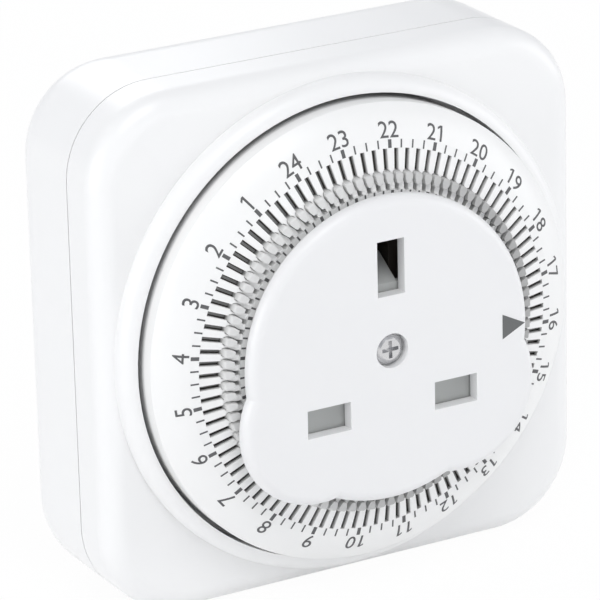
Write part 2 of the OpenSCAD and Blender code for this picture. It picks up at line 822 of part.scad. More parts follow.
module contact_carrier() color(dark_grey) stand() difference() {
    union() {
        translate([0, 0, pan_bottom - flange_t]) cylinder(r = flange_r, h = flange_t);
        translate([0, 0, pan_bottom - bite]) cylinder(r = carrier_r, h = carrier_top - pan_bottom + bite);
        translate([0, 0, carrier_top - bite]) cylinder(r = boss_r, h = boss_top - carrier_top + bite);
    }
    translate([0, 0, centre_seat - centre_screw_l - centre_end_gap])
        cylinder(r = centre_screw_r + fit, h = plate_front);
    at_line_pins() {
        bar(-line_hole_w / 2 - passage, line_hole_w / 2 + passage, -line_hole_h / 2 - passage,
            line_hole_h / 2 + passage, clip_top, carrier_top + over);
        rotate(90) clip_cavity(line_cavity_l, line_tail_w);
    }
    bar(-earth_hole_w / 2 - passage, earth_hole_w / 2 + passage, earth_low - passage,
        earth_top + passage, clip_top, carrier_top + over);
    translate([0, earth_y, 0]) clip_cavity(earth_cavity_l, earth_tail_w);
    bar(-earth_hole_w / 2 - passage, earth_hole_w / 2 + passage, bridge_low - shutter_travel - slide_gap,
        earth_low, shutter_front - ramp_depth - ramp_toe - ramp_gap, carrier_top + over);
}

// Room for a clip and the tail below it; x across the leaves, y along them
module clip_cavity(length, tail_w) {
    half = leaf_gap + leaf_t + cavity_gap;
    tail_half = leaf_t / 2 + tail_gap;
    bar(-half, half, -length / 2, length / 2, clip_low - cavity_gap, clip_top + cavity_gap);
    bar(-tail_half, tail_half, -tail_w / 2 - tail_gap, tail_w / 2 + tail_gap,
        pan_bottom - flange_t - over, clip_low);
}

// A spring clip with two leaves; x across the leaves, y along them
module clip(length) {
    bar(-leaf_gap - leaf_t, leaf_gap + leaf_t, -length / 2, length / 2, clip_low, clip_low + leaf_t);
    for (side = [0, 1]) mirror([side, 0, 0])
        bar(leaf_gap, leaf_gap + leaf_t, -length / 2, length / 2, clip_low, clip_top);
}

module neutral_contact() color(brass) stand() translate([-line_x, -socket_drop, 0]) {
    rotate(90) clip(line_clip_l);
    bar(-line_tail_w / 2, line_tail_w / 2, -leaf_t / 2, leaf_t / 2, pin_root, clip_low + bite);
}

module line_contact() color(brass) stand() {
    strip_end = follower_r - switch_w / 2 - terminal_t;
    translate([line_x, -socket_drop, 0]) {
        rotate(90) clip(line_clip_l);
        bar(-line_tail_w / 2, line_tail_w / 2, -leaf_t / 2, leaf_t / 2, strip_low, clip_low + bite);
        bar(-line_tail_w / 2, strip_end - line_x, -leaf_t / 2, leaf_t / 2, strip_low, strip_top);
    }
    bar(strip_end - leaf_t, strip_end, -socket_drop - leaf_t / 2, terminal_front, strip_low, strip_top);
}

module earth_contact() color(brass) stand() translate([0, earth_y, 0]) {
    clip(earth_clip_l);
    bar(-leaf_t / 2, leaf_t / 2, -earth_tail_w / 2, earth_tail_w / 2, pin_root, clip_low + bite);
}

module shutter() color(shutter_grey) stand() {
    ramp_foot = shutter_front - ramp_depth - ramp_toe;
    intersection() {
        union() {
            for (side = [0, 1]) mirror([side, 0, 0])
                bar(line_x - line_hole_w / 2 - wing_beside, hub_bore, shutter_low, line_top + wing_above,
                    shutter_back, shutter_front);
            bar(-line_x, line_x, shutter_low, bar_top, shutter_back, shutter_front);
        }
        cylinder(r = carrier_r - slide_gap, h = plate_back);
    }
    for (side = [0, 1]) mirror([side, 0, 0])
        bar(arm_in, arm_in + arm_w, bar_top - over, ramp_low, shutter_back, shutter_front);
    bar(-arm_in - arm_w, arm_in + arm_w, bridge_low, ramp_low, shutter_back, shutter_front);
    translate([-earth_hole_w / 2 + ramp_side_gap, 0, 0]) rotate([90, 0, 90])
        linear_extrude(earth_hole_w - 2 * ramp_side_gap) polygon([[bridge_low, shutter_front],
            [ramp_low, shutter_front], [ramp_top, ramp_foot + ramp_toe], [ramp_top, ramp_foot],
            [bridge_low, ramp_foot]]);
}

// Compression spring under the shutter, wound along y
module shutter_spring() color(steel) stand() {
    turn_steps = 12;
    sides = 6;
    steps = spring_turns * turn_steps;
    length = shutter_low - spring_low;
    points = [for (i = [0 : steps], j = [0 : sides - 1])
        let (turn = 360 * i / turn_steps, r = spring_r + spring_wire * cos(360 * j / sides))
        [r * cos(turn),
         spring_low + spring_wire + (length - 2 * spring_wire) * i / steps
             + spring_wire * sin(360 * j / sides),
         spring_z + r * sin(turn)]];
    faces = concat(
        [[for (j = [0 : sides - 1]) j]],
        [for (i = [0 : steps - 1], j = [0 : sides - 1])
            [i * sides + j, (i + 1) * sides + j, (i + 1) * sides + (j + 1) % sides,
             i * sides + (j + 1) % sides]],
        [[for (j = [0 : sides - 1]) steps * sides + sides - 1 - j]]);
    polyhedron(points, faces);
}

// ---- Plug ----

// Outline of a pin from the side, with its end bevelled
function pin_outline(half, length) = [
    [-half + pin_bevel, -length], [half - pin_bevel, -length], [half, pin_bevel_l - length],
    [half, pin_root], [-half, pin_root], [-half, pin_bevel_l - length]
];

module plug_pin(w, t, length) {
    intersection() {
        translate([0, t, 0]) rotate([90, 0, 0]) linear_extrude(2 * t) polygon(pin_outline(w / 2, length));
        translate([-w, 0, 0]) rotate([90, 0, 90]) linear_extrude(2 * w)
            polygon(pin_outline(t / 2, length));
    }
    bar(-w / 2 - pin_flange, w / 2 + pin_flange, -t / 2 - pin_flange, t / 2 + pin_flange, wall,
        wall + pin_flange_t);
}

// Core of a line or neutral pin where its sleeve goes round
module sleeve_bore() bar(-line_pin_w / 2 + sleeve_t, line_pin_w / 2 - sleeve_t, -pin_t / 2 + sleeve_t,
    pin_t / 2 - sleeve_t, -sleeve_l - over, over);

module sleeved_pin() difference() {
    plug_pin(line_pin_w, pin_t, line_pin_l);
    difference() {
        bar(-line_pin_w, line_pin_w, -pin_t, pin_t, -sleeve_l, 0);
        sleeve_bore();
    }
}

module line_pin() color(brass) stand() translate([line_x, -socket_drop, 0]) sleeved_pin();

module neutral_pin() color(brass) stand() translate([-line_x, -socket_drop, 0]) sleeved_pin();

module earth_pin() color(brass) stand() translate([0, earth_y, 0]) rotate(90)
    plug_pin(earth_pin_h, pin_t, earth_pin_l);

module pin_sleeves() color([0.12, 0.12, 0.12]) stand() at_line_pins() difference() {
    bar(-line_pin_w / 2, line_pin_w / 2, -pin_t / 2, pin_t / 2, -sleeve_l, 0);
    sleeve_bore();
}

module line_link() color(brass) stand()
    bar(line_x + line_pin_w / 2, follower_r - leaf_t / 2, -socket_drop - link_below,
        -socket_drop + link_above, link_low, link_top);

// ---- Motor and train ----

module motor_core() color(steel) stand() at(rotor_at) difference() {
    bar(core_left, core_right, -core_half, core_half, stack_low, stack_low + stack_t);
    bar(core_left + leg_w, window_right, -window_half, window_half, stack_low - over,
        stack_low + stack_t + over);
    translate([0, 0, stack_low - over]) cylinder(r = bore_r, h = stack_t + 2 * over);
    bar(window_right - over, core_right + over, -pole_gap / 2, pole_gap / 2, stack_low - over,
        stack_low + stack_t + over);
}

module spool_space(extra) bar(leg_x - leg_w / 2 - extra, leg_x + leg_w / 2 + extra, -core_half,
    core_half, leg_z - stack_t / 2 - extra, leg_z + stack_t / 2 + extra);

module motor_bobbin() color([0.85, 0.85, 0.82]) stand() at(rotor_at) difference() {
    union() {
        intersection() {
            spool_space(spool_fit + spool_wall);
            bar(leg_x - coil_r, leg_x + coil_r, -spool_half, spool_half, leg_z - coil_r, leg_z + coil_r);
        }
        for (side = [0, 1]) mirror([0, side, 0])
            translate([leg_x, spool_half, leg_z]) rotate([90, 0, 0])
                cylinder(r = coil_r, h = spool_flange);
    }
    spool_space(spool_fit);
}

module motor_coil() color([0.72, 0.38, 0.18]) stand() at(rotor_at) difference() {
    translate([leg_x, spool_half - spool_flange, leg_z]) rotate([90, 0, 0])
        cylinder(r = coil_r - coil_inset, h = 2 * (spool_half - spool_flange));
    spool_space(spool_fit + spool_wall);
}

// Rounds of the train: each tooth meets a space of the next wheel along the line of centres
module motor_rotor() color([0.25, 0.25, 0.27]) stand() at(rotor_at) difference() {
    union() {
        translate([0, 0, stack_low - magnet_over]) cylinder(r = rotor_r, h = stack_t + 2 * magnet_over);
        translate([0, 0, stack_low + stack_t]) rotate(angle_m + 180)
            toothed(small_teeth, train_module, wheel_low + wheel_t + teeth_over - stack_low - stack_t);
    }
    cylinder(r = axle_r + run_gap, h = front_face);
}

module wheel(low, in_angle, out_angle) difference() {
    union() {
        translate([0, 0, low]) rotate(in_angle + 180 / large_teeth)
            toothed(large_teeth, train_module, wheel_t);
        translate([0, 0, low + wheel_t - bite]) rotate(out_angle)
            toothed(small_teeth, train_module, storey + teeth_over + bite);
    }
    cylinder(r = axle_r + run_gap, h = front_face);
}

module gear_wheel_1() color(gear_white) stand() at(wheel_1_at)
    wheel(wheel_low, angle_m, angle_1 + 180);

module gear_wheel_2() color(gear_white) stand() at(wheel_2_at)
    wheel(wheel_low + storey, angle_1, angle_2 + 180);

module gear_wheel_3() color(gear_white) stand() at(wheel_3_at)
    wheel(wheel_low + 2 * storey, angle_2, angle_3 + 180);

module clutch_wheel() color(gear_white) stand() at(clutch_at) difference() {
    translate([0, 0, clutch_low]) rotate(angle_3 + 180 / clutch_teeth)
        toothed(clutch_teeth, train_module, wheel_t);
    cylinder(r = shaft_r + run_gap, h = front_face);
}

module clutch_pinion() color(gear_white) stand() at(clutch_at) {
    translate([0, 0, shaft_low]) cylinder(r = shaft_r, h = drive_low - shaft_low + over);
    translate([0, 0, clutch_low - disc_gap - disc_t]) cylinder(r = disc_r, h = disc_t);
    translate([0, 0, drive_low]) rotate(pinion_angle) toothed(drive_teeth, drive_module, drive_t);
}

module clutch_spring() color(brass) stand() at(clutch_at) rotate_extrude() polygon([
    [shaft_r + washer_fit, washer_low + washer_rise],
    [shaft_r + washer_fit, washer_low + washer_rise + washer_t],
    [disc_r, washer_low + washer_t],
    [disc_r, washer_low]]);

module gear_axles() color(steel) stand() for (p = axles_at) at(p) translate([0, 0, wall])
    cylinder(r = axle_r, h = gear_plate_top - wall);

module gear_plate() color([0.86, 0.86, 0.84]) stand() difference() {
    union() {
        translate([0, 0, gear_plate_low]) linear_extrude(gear_plate_t)
            polygon([pillars[0], wheel_3_at, pillars[1], pillars[2], rotor_at]);
        for (p = concat(pillars, axles_at, [clutch_at]))
            at(p) translate([0, 0, gear_plate_low]) cylinder(r = eye_r, h = gear_plate_t);
        for (p = pillars) at(p) translate([0, 0, wall])
            cylinder(r = pillar_r, h = gear_plate_low - wall + bite);
    }
    for (p = axles_at) at(p) cylinder(r = axle_r + run_gap, h = front_face);
    at(clutch_at) cylinder(r = shaft_r + run_gap, h = front_face);
}

// A round wire through the given points
module wire(points, r) {
    for (i = [0 : len(points) - 2]) {
        run = points[i + 1] - points[i];
        translate(points[i]) rotate([0, acos(run[2] / norm(run)), atan2(run[1], run[0])])
            cylinder(r = r, h = norm(run));
    }
    for (i = [1 : len(points) - 2]) translate(points[i]) sphere(r);
}

// A lead from the coil at x0, y0 over to the pin at x1, y1, crossing the case at the height y
module lead(x0, y0, y, x1, y1) wire([[x0, y0, lead_high], [x0, y, lead_high], [x1, y, lead_high],
    [x1, y, lead_low], [x1, y1, lead_low]], lead_r);

module motor_leads() color([0.3, 0.3, 0.75]) stand() {
    start = rotor_at[1] + spool_half;
    face = -socket_drop + pin_t / 2;
    lead(rotor_at[0] + leg_x, start, lead_a_y, -line_x, face);
    lead(rotor_at[0] + leg_x + lead_spread, start, lead_b_y, line_x, face);
}

// ---- Switch ----

module follower_pin() color([0.9, 0.9, 0.88]) stand() at_switch() {
    translate([0, 0, follower_low])
        cylinder(r = follower_pin_r, h = follower_top - follower_low - follower_bevel_h);
    translate([0, 0, follower_top - follower_bevel_h])
        cylinder(r1 = follower_pin_r, r2 = follower_pin_r - follower_bevel, h = follower_bevel_h);
    translate([0, 0, pan_bottom - collar_gap - collar_t]) cylinder(r = collar_r, h = collar_t);
}

module switch_lever() color(steel) stand() at_switch() {
    translate([0, lever_y, lever_z]) {
        rotate([-lever_swing, 0, 0]) bar(-lever_w / 2, lever_w / 2, -lever_l, 0, -lever_t / 2, lever_t / 2);
        rotate([0, 90, 0]) translate([0, 0, -lever_w / 2]) cylinder(r = lever_hub_r, h = lever_w);
        rotate([0, 90, 0]) translate([0, 0, -lever_pin_l / 2]) cylinder(r = lever_pin_r, h = lever_pin_l);
    }
}

module switch_plunger() color([0.8, 0.15, 0.1]) stand() at_switch()
    translate([0, plunger_y, switch_top - plunger_in])
        cylinder(r = plunger_r, h = plunger_top - switch_top + plunger_in);

module switch_body() color([0.15, 0.15, 0.16]) stand() at_switch() difference() {
    union() {
        bar(-switch_w / 2, switch_w / 2, -switch_l / 2, switch_l / 2, switch_low, switch_top);
        for (side = [0, 1]) mirror([side, 0, 0])
            bar(lever_w / 2 + ear_gap, lever_w / 2 + ear_gap + ear_t, lever_y - ear_half,
                lever_y + ear_half, switch_top - bite, lever_z + ear_half);
    }
    translate([-switch_w / 2, lever_y, lever_z]) rotate([0, 90, 0])
        cylinder(r = lever_pin_r + run_gap, h = switch_w);
    translate([0, plunger_y, switch_top - plunger_hole])
        cylinder(r = plunger_r + run_gap, h = plunger_hole + over);
}

module switch_terminals() color(brass) stand() at_switch() {
    bar(-leaf_t / 2, leaf_t / 2, tab_back, tab_front, tab_low, switch_low);
    bar(-switch_w / 2 - terminal_t, -switch_w / 2, terminal_back, terminal_front, terminal_low,
        terminal_top);
}

module slider_bar(x0, x1, half_y, z0, z1) bar(x0, x1, slider_y - half_y, slider_y + half_y, z0, z1);

module override_slider() color([0.35, 0.36, 0.37]) stand() {
    face = case_w / 2 - slide_gap;
    floor = case_w / 2 - recess_d + slide_gap;
    back = case_w / 2 - wall - pad_t - slide_gap;
    finger_top = lever_tip + finger_inset + finger_t;
    slider_bar(floor, face, thumb_half, slider_z - thumb_half, slider_z + thumb_half);
    slider_bar(back - keeper_t / 2, floor + bite, stalk_y, slider_z - stalk_z, slider_z + stalk_z);
    slider_bar(back - keeper_t, back, keeper_y, slider_z - keeper_z, slider_z + keeper_z);
    slider_bar(back - keeper_t, back - bite, finger_y, slider_z, finger_top);
    slider_bar(follower_r + follower_pin_r + finger_gap, back - bite, finger_y, lever_tip + finger_inset,
        finger_top);
}

front_cover();
rear_case();
dial_ring();
socket_plate();
centre_screw();
shutter();
shutter_spring();
contact_carrier();
line_contact();
neutral_contact();
earth_contact();
line_pin();
neutral_pin();
earth_pin();
pin_sleeves();
line_link();
motor_leads();
motor_core();
motor_bobbin();
motor_coil();
motor_rotor();
gear_wheel_1();
gear_wheel_2();
gear_wheel_3();
clutch_wheel();
clutch_pinion();
clutch_spring();
gear_axles();
gear_plate();
follower_pin();
switch_lever();
switch_plunger();
switch_body();
switch_terminals();
override_slider();
case_screws();
tappets(1);  // tappets_01
tappets(2);  // tappets_02
tappets(3);  // tappets_03
tappets(4);  // tappets_04
tappets(5);  // tappets_05
tappets(6);  // tappets_06
tappets(7);  // tappets_07
tappets(8);  // tappets_08
tappets(9);  // tappets_09
tappets(10);  // tappets_10
tappets(11);  // tappets_11
tappets(12);  // tappets_12
tappets(13);  // tappets_13
tappets(14);  // tappets_14
tappets(15);  // tappets_15
tappets(16);  // tappets_16
tappets(17);  // tappets_17
tappets(18);  // tappets_18
tappets(19);  // tappets_19
tappets(20);  // tappets_20
tappets(21);  // tappets_21
tappets(22);  // tappets_22
tappets(23);  // tappets_23
tappets(24);  // tappets_24
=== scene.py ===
"""Looks of a plug-in 24-hour segment timer: print, slot floors, materials, light and camera."""
import json
import math

import bmesh
import bpy
from mathutils import Matrix, Vector


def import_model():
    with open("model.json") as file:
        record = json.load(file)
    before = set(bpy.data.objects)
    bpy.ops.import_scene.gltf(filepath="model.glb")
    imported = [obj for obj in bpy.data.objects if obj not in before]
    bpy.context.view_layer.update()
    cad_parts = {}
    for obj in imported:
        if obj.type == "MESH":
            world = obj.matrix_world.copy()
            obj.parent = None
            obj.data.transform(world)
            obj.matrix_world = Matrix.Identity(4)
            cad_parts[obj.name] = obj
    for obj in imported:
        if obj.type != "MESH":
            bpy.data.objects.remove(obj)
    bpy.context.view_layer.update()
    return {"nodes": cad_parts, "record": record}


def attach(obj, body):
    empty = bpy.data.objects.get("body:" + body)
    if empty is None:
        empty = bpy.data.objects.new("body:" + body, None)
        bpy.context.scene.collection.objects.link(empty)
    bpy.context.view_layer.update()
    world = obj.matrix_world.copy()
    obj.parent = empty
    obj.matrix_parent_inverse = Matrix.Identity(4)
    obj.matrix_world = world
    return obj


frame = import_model()

MM = 0.001

# ---- Sizes, in millimetres, as in the construction; heights are in front of the rear face ----
HOURS = 24
QUARTERS = 96
PITCH = 360 / QUARTERS
SLOT_PHASE = 0.44       # place of a slot between two quarter marks
DIAL_TURN = -6.2        # dial angle at rest, degrees
ARROW_HOUR = 16         # the hour mark nearest to 3 o'clock at rest
LAND_R = 31.5           # outer radius of the conical face
LAND_TOP = 37.5         # height of the conical face at that radius
DIAL_R = 36.4
RIM_DROP = 3.4          # from the conical face's edge down to the rim's shoulder
DOME_R = 9.4            # section radius of the number band
RING_R = 24.35          # outer radius of the inner scale ring
RING_TOP = 39.5
FACE_RISE = 1.75        # rise of the conical face towards the ring
FACE_SLOPE = FACE_RISE / (LAND_R - RING_R)
PLATE_FRONT = 43.1
CASE_BOTTOM = -41.6     # underside of the case, which stands on the floor

# ---- Print, in millimetres ----
PRINT_T = 0.03          # thickness of printed ink above the plastic
PRINT_SINK = 0.06       # how far the ink's solid reaches into the plastic
TICK_IN, TICK_OUT = 30.25, 31.5
HOUR_TICK_W, QUARTER_TICK_W = 0.58, 0.25
SCALE_IN, SCALE_OUT = 23.4, 24.2        # ticks on the inner ring
SCALE_HOUR_W, SCALE_QUARTER_W = 0.5, 0.27
NUMBER_R = 32.9         # middle of the numerals
NUMBER_H = 2.3          # height of the numerals
NUMBER_STRETCH = 1.02   # widens the numerals
FONT_SIZE = 3.42        # sets the numerals' width, as NUMBER_H sets their height
FONT_SPACING = 1.02
FONT_WEIGHT = 0.004     # outward offset of the strokes
FONT_STEPS = 6          # segments of each curved stroke
WELD = 0.0005           # corners that lie nearer than this are joined
CUT_ACROSS, CUT_UP = 0.5, 0.3           # steps of the cuts that let a numeral follow the dome
FLAG_REACH, FLAG_DROP, FLAG_T = 0.2, 0.13, 0.13   # flag of a 1, as shares of its height
ARROW = ((19.5, -2.2), (23.5, -0.25), (19.5, 1.8))

# ---- Floors of the tappet slots, in millimetres ----
SLOT_IN, SLOT_OUT = 27.04, 30.18        # between the tappets' pockets and the slots' ends
SLOT_W = 0.74
FLOOR_DEPTH, FLOOR_T = 0.9, 0.5
CORNER_W, CORNER_RISE = 0.18, 0.05      # dark lines of painted shade along both sides of each floor

# ---- Painted shade on the dial and the tappets, set by their place, in millimetres ----
SHADE_FROM, SHADE_TO = 0.25, 0.85       # depths between which the painted shade in the slots deepens
SHADE_IN, SHADE_OUT = 26.98, 30.9       # radii between which the slots take the painted shade
SHADE_LOWEST = 33.8                     # lowest height of the painted shade, just above the disc's underside
RIM_R = 35.8                            # outside this, painted shade is put on the dial's rim
RIM_DARK, RIM_LIGHT = 31.4, 32.2        # heights between which the painted shade on the rim fades out
RIM_SIDE, RIM_UP = -0.5, 0.87           # direction, right and up, in which the painted shade on the rim is darkest
RIM_SPREAD = 0.4                        # how far the painted shade reaches round to the other side
TAPPET_LIT = (-0.966, 0, 0.259)         # direction in which the painted shade on the tappets is lightest
TAPPET_DARK_AT, TAPPET_LIT_AT = -15.5, 12.5   # places along it of the painted shade's darkest and lightest tone


def dome_centre():
    """Centre of the number band's arc: it passes through the land's edge and the rim's shoulder."""
    run = DIAL_R - LAND_R
    chord = math.hypot(run, RIM_DROP)
    reach = math.sqrt(DOME_R ** 2 - chord ** 2 / 4)
    return ((LAND_R + DIAL_R) / 2 - reach * RIM_DROP / chord,
            LAND_TOP - RIM_DROP / 2 - reach * run / chord)


DOME_X, DOME_Z = dome_centre()


def dial_height(r):
    """Height of the dial's surface at radius r, outside the slots."""
    if r <= LAND_R:
        return LAND_TOP + (LAND_R - r) * FACE_SLOPE
    return DOME_Z + math.sqrt(DOME_R ** 2 - (r - DOME_X) ** 2)


def ring_height(r):
    """Height of the inner scale ring, which is flat."""
    return RING_TOP


def stood(x, y, h):
    """Place in metres of a point x right, y up and h in front of the rear face, in millimetres."""
    return Vector((x, -h, y)) * MM


def polar(r, degrees):
    return r * math.cos(math.radians(degrees)), r * math.sin(math.radians(degrees))


# ---- Nodes ----

def new_material(name):
    material = bpy.data.materials.new(name)
    material.use_nodes = True
    nodes = material.node_tree.nodes
    return material, nodes, material.node_tree.links, nodes["Principled BSDF"]


def noise(nodes, links, scale, detail=2.0, rough=0.5):
    """A noise texture in object space; scale counts features per metre."""
    place = nodes.new("ShaderNodeTexCoord")
    texture = nodes.new("ShaderNodeTexNoise")
    texture.inputs["Scale"].default_value = scale
    texture.inputs["Detail"].default_value = detail
    texture.inputs["Roughness"].default_value = rough
    links.new(place.outputs["Object"], texture.inputs["Vector"])
    return texture


def calculated(nodes, links, operation, *values):
    """The result of a math node, whose values are numbers or sockets."""
    node = nodes.new("ShaderNodeMath")
    node.operation = operation
    for socket, value in zip(node.inputs, values):
        if isinstance(value, (int, float)):
            socket.default_value = value
        else:
            links.new(value, socket)
    return node.outputs["Value"]


def ramp(nodes, links, value, start, end, low=0, high=1):
    """Maps a value that runs from start to end to low to high, and holds it beyond both."""
    node = nodes.new("ShaderNodeMapRange")
    node.inputs["From Min"].default_value = start
    node.inputs["From Max"].default_value = end
    node.inputs["To Min"].default_value = low
    node.inputs["To Max"].default_value = high
    links.new(value, node.inputs["Value"])
    return node.outputs["Result"]


NOISE_LOW, NOISE_HIGH = 0.3, 0.7        # most of a noise lies between these


def spread(nodes, links, source, low, high):
    """Maps a noise to low to high."""
    return ramp(nodes, links, source, NOISE_LOW, NOISE_HIGH, low, high)


def mixed(nodes, links, share, first, second):
    """Two colours mixed by a share; each colour is a triple or a socket."""
    node = nodes.new("ShaderNodeMix")
    node.data_type = "RGBA"
    links.new(share, node.inputs["Factor"])
    for name, colour in (("A", first), ("B", second)):
        if isinstance(colour, tuple):
            node.inputs[name].default_value = (*colour, 1)
        else:
            links.new(colour, node.inputs[name])
    return node.outputs["Result"]


def tint(nodes, links, source, colour, change):
    """Two near colours mixed by a noise, for the faint clouding of moulded plastic or plating."""
    darker = tuple(c * (1 - change) for c in colour)
    lighter = tuple(min(1, c * (1 + change)) for c in colour)
    return mixed(nodes, links, source, darker, lighter)


def bump(nodes, links, bsdf, source, distance, strength):
    node = nodes.new("ShaderNodeBump")
    node.inputs["Distance"].default_value = distance
    node.inputs["Strength"].default_value = strength
    links.new(source, node.inputs["Height"])
    links.new(node.outputs["Normal"], bsdf.inputs["Normal"])


# ---- Materials: scales count features per metre, depths are in metres ----

def plastic(name, colour, rough, depth=0.00001, change=0.012):
    """Moulded plastic: fine spark-eroded grain, soft roughness patches and a faint tint drift."""
    cloud_scale, grain_scale, detail, grain_rough = 60, 2500, 3, 0.6
    drift, strength = 0.03, 0.35
    material, nodes, links, bsdf = new_material(name)
    broad = noise(nodes, links, cloud_scale, detail).outputs["Fac"]
    fine = noise(nodes, links, grain_scale, detail, grain_rough).outputs["Fac"]
    links.new(tint(nodes, links, broad, colour, change), bsdf.inputs["Base Color"])
    links.new(spread(nodes, links, broad, rough - drift, rough + drift), bsdf.inputs["Roughness"])
    bump(nodes, links, bsdf, fine, depth, strength)
    return material


def metal(name, colour, rough, grain=900, stretch=(1, 1, 1)):
    """Bare or plated metal with drawn or tumbled marks."""
    cloud_scale, cloud_detail, mark_detail = 120, 3, 4
    change, drift, depth, strength = 0.05, 0.07, 0.000006, 0.3
    material, nodes, links, bsdf = new_material(name)
    bsdf.inputs["Metallic"].default_value = 1
    place = nodes.new("ShaderNodeTexCoord")
    pull = nodes.new("ShaderNodeMapping")
    pull.inputs["Scale"].default_value = stretch
    links.new(place.outputs["Object"], pull.inputs["Vector"])
    texture = nodes.new("ShaderNodeTexNoise")
    texture.inputs["Scale"].default_value = grain
    texture.inputs["Detail"].default_value = mark_detail
    links.new(pull.outputs["Vector"], texture.inputs["Vector"])
    marks = texture.outputs["Fac"]
    broad = noise(nodes, links, cloud_scale, cloud_detail).outputs["Fac"]
    links.new(tint(nodes, links, broad, colour, change), bsdf.inputs["Base Color"])
    links.new(spread(nodes, links, marks, rough - drift, rough + drift), bsdf.inputs["Roughness"])
    bump(nodes, links, bsdf, marks, depth, strength)
    return material


def winding(name, colour):
    """Enamelled copper wire: fine turns round the coil and a clear coat."""
    metallic, coat, turn_scale, distortion = 0.85, 0.6, 900, 0.3
    change, smooth, rough, depth, strength = 0.3, 0.25, 0.4, 0.00005, 0.6
    material, nodes, links, bsdf = new_material(name)
    bsdf.inputs["Metallic"].default_value = metallic
    bsdf.inputs["Coat Weight"].default_value = coat
    place = nodes.new("ShaderNodeTexCoord")
    texture = nodes.new("ShaderNodeTexWave")
    texture.bands_direction = "Z"
    texture.inputs["Scale"].default_value = turn_scale
    texture.inputs["Distortion"].default_value = distortion
    links.new(place.outputs["Object"], texture.inputs["Vector"])
    turns = texture.outputs["Fac"]
    links.new(tint(nodes, links, turns, colour, change), bsdf.inputs["Base Color"])
    links.new(spread(nodes, links, turns, smooth, rough), bsdf.inputs["Roughness"])
    bump(nodes, links, bsdf, turns, depth, strength)
    return material


def ink(name, colour):
    """Pad-printed ink: matt, with a slightly uneven film."""
    film_scale, detail, change, smooth, rough = 1800, 2, 0.08, 0.5, 0.65
    material, nodes, links, bsdf = new_material(name)
    film = noise(nodes, links, film_scale, detail).outputs["Fac"]
    links.new(tint(nodes, links, film, colour, change), bsdf.inputs["Base Color"])
    links.new(spread(nodes, links, film, smooth, rough), bsdf.inputs["Roughness"])
    return material


def shade_dial(material, inner, outer, rim):
    """Painted shade: darkens the tappet slots with their depth, more so at their inner ends, and the
    dial's rim.
    """
    nodes, links = material.node_tree.nodes, material.node_tree.links
    base = nodes["Principled BSDF"].inputs["Base Color"]
    plain = base.links[0].from_socket

    def maths(operation, *values):
        return calculated(nodes, links, operation, *values)

    place = nodes.new("ShaderNodeNewGeometry")
    split = nodes.new("ShaderNodeSeparateXYZ")
    links.new(place.outputs["Position"], split.inputs["Vector"])
    x, y, z = (split.outputs[axis] for axis in "XYZ")
    radius = maths("SQRT", maths("MULTIPLY_ADD", z, z, maths("MULTIPLY", x, x)))

    # Painted shade in the slots: y runs into the wall, so the face's height plus y is the depth below
    # the face
    face = maths("MULTIPLY_ADD", radius, -FACE_SLOPE, (LAND_TOP + LAND_R * FACE_SLOPE) * MM)
    deep = ramp(nodes, links, maths("ADD", face, y), SHADE_FROM * MM, SHADE_TO * MM)
    inside = maths("COMPARE", radius, (SHADE_IN + SHADE_OUT) / 2 * MM,
                   (SHADE_OUT - SHADE_IN) / 2 * MM)
    above = maths("LESS_THAN", y, -SHADE_LOWEST * MM)
    slot_share = maths("MULTIPLY", maths("MULTIPLY", deep, inside), above)
    outward_share = ramp(nodes, links, radius, SHADE_IN * MM, SHADE_OUT * MM)
    slot_tone = mixed(nodes, links, outward_share, inner, outer)
    slotted = mixed(nodes, links, slot_share, plain, slot_tone)

    # Painted shade on the rim, low down in the gap, where it faces up or left
    lean = maths("MULTIPLY_ADD", x, RIM_SIDE, maths("MULTIPLY", z, RIM_UP))
    facing = maths("ADD", maths("DIVIDE", lean, radius), RIM_SPREAD)
    turned = maths("MINIMUM", maths("MAXIMUM", facing, 0), 1)
    low = ramp(nodes, links, y, -RIM_LIGHT * MM, -RIM_DARK * MM)
    outside = maths("GREATER_THAN", radius, RIM_R * MM)
    rim_share = maths("MULTIPLY", maths("MULTIPLY", low, outside), turned)
    links.new(mixed(nodes, links, rim_share, slotted, rim), base)


def shade_tappets(material, dark):
    """Painted shadow: darkens the tappets towards the lower right, in place of the plate keeping the
    light off them.
    """
    nodes, links = material.node_tree.nodes, material.node_tree.links
    base = nodes["Principled BSDF"].inputs["Base Color"]
    plain = base.links[0].from_socket
    place = nodes.new("ShaderNodeNewGeometry")
    along = nodes.new("ShaderNodeVectorMath")
    along.operation = "DOT_PRODUCT"
    along.inputs[1].default_value = TAPPET_LIT
    links.new(place.outputs["Position"], along.inputs[0])
    share = ramp(nodes, links, along.outputs["Value"], TAPPET_DARK_AT * MM, TAPPET_LIT_AT * MM)
    links.new(mixed(nodes, links, share, dark, plain), base)


WHITE = plastic("white_case", (0.86, 0.86, 0.855), 0.31)
DIAL_WHITE = plastic("white_dial_painted_shade", (0.86, 0.86, 0.85), 0.36)
# The dial's material carries painted shade in its slots and on its rim, in the gap by the bezel
shade_dial(DIAL_WHITE, inner=(0.16, 0.16, 0.158), outer=(0.30, 0.30, 0.295), rim=(0.42, 0.42, 0.42))
PLATE_WHITE = plastic("white_plate", (0.81, 0.81, 0.81), 0.34)
TAPPET_GREY = plastic("grey_tappet_painted_shade", (0.67, 0.67, 0.66), 0.42, depth=0.00002, change=0.05)
